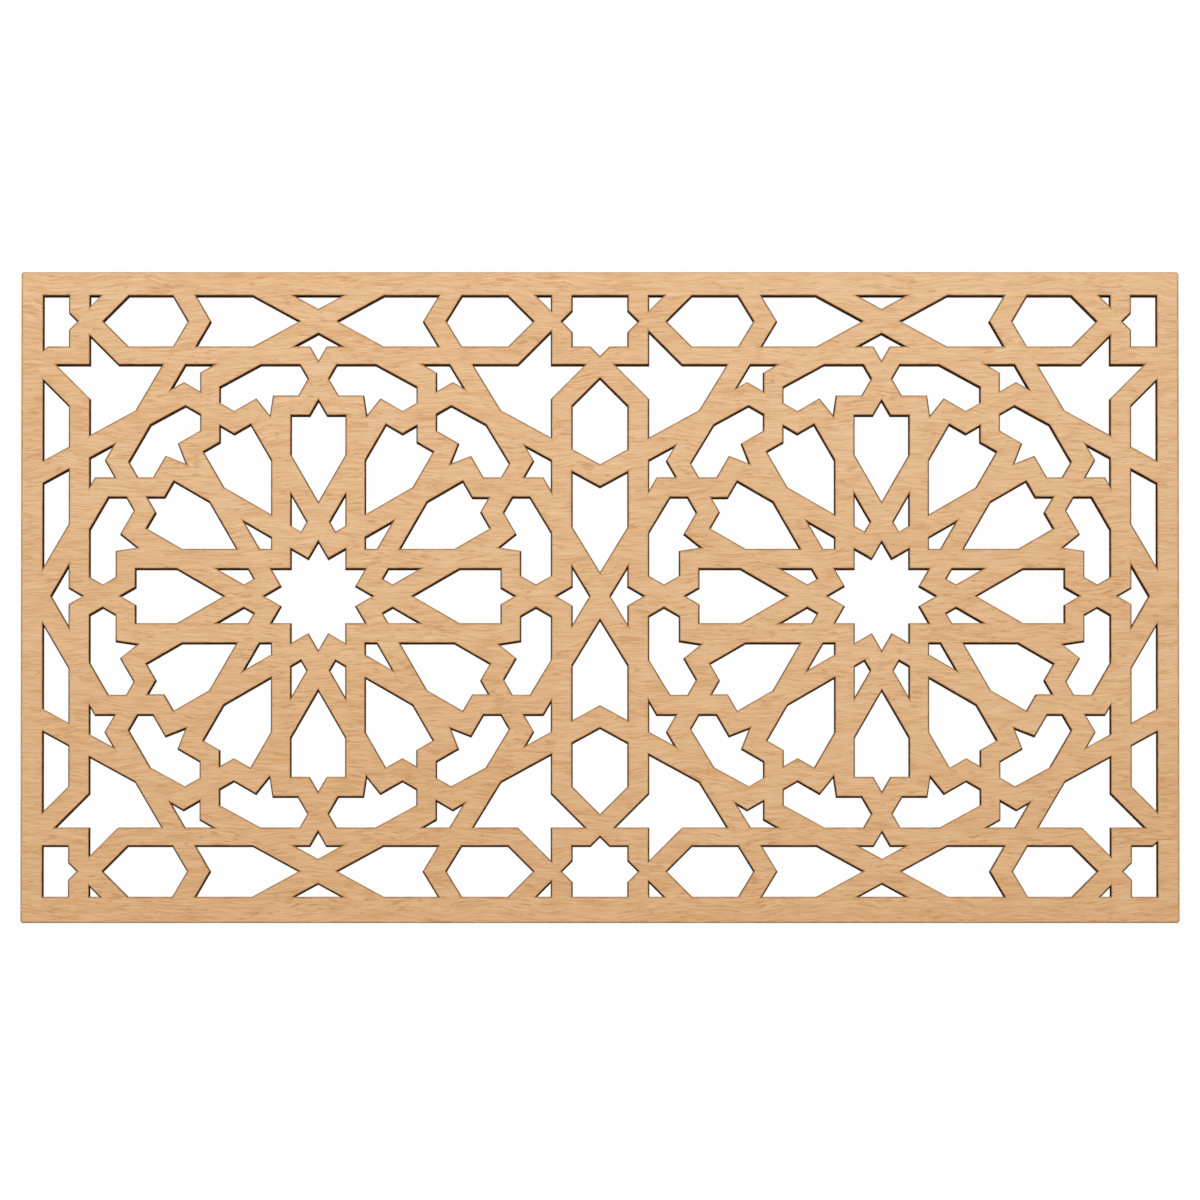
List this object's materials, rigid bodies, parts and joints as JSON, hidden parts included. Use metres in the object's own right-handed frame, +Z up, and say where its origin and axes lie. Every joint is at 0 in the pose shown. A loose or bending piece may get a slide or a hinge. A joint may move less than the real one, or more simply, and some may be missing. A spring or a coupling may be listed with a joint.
{
  "type": "mashrabiya screen",
  "caption": "Flat wooden lattice screen pierced with two twelve-pointed star rosettes, to be hung or set in a frame.",
  "frame": {"origin": "on the back face of the top rail, halfway along it", "axes": "+X along the screen's width, +Y out of its back face so that its front faces -Y, +Z up"},
  "size_m": [0.6, 0.006, 0.3374],
  "materials": {
    "beech": "sanded, unvarnished, with scorched cut walls"
  },
  "bodies": {
    "root": {"screen_panel": "beech"}
  },
  "joints": []
}
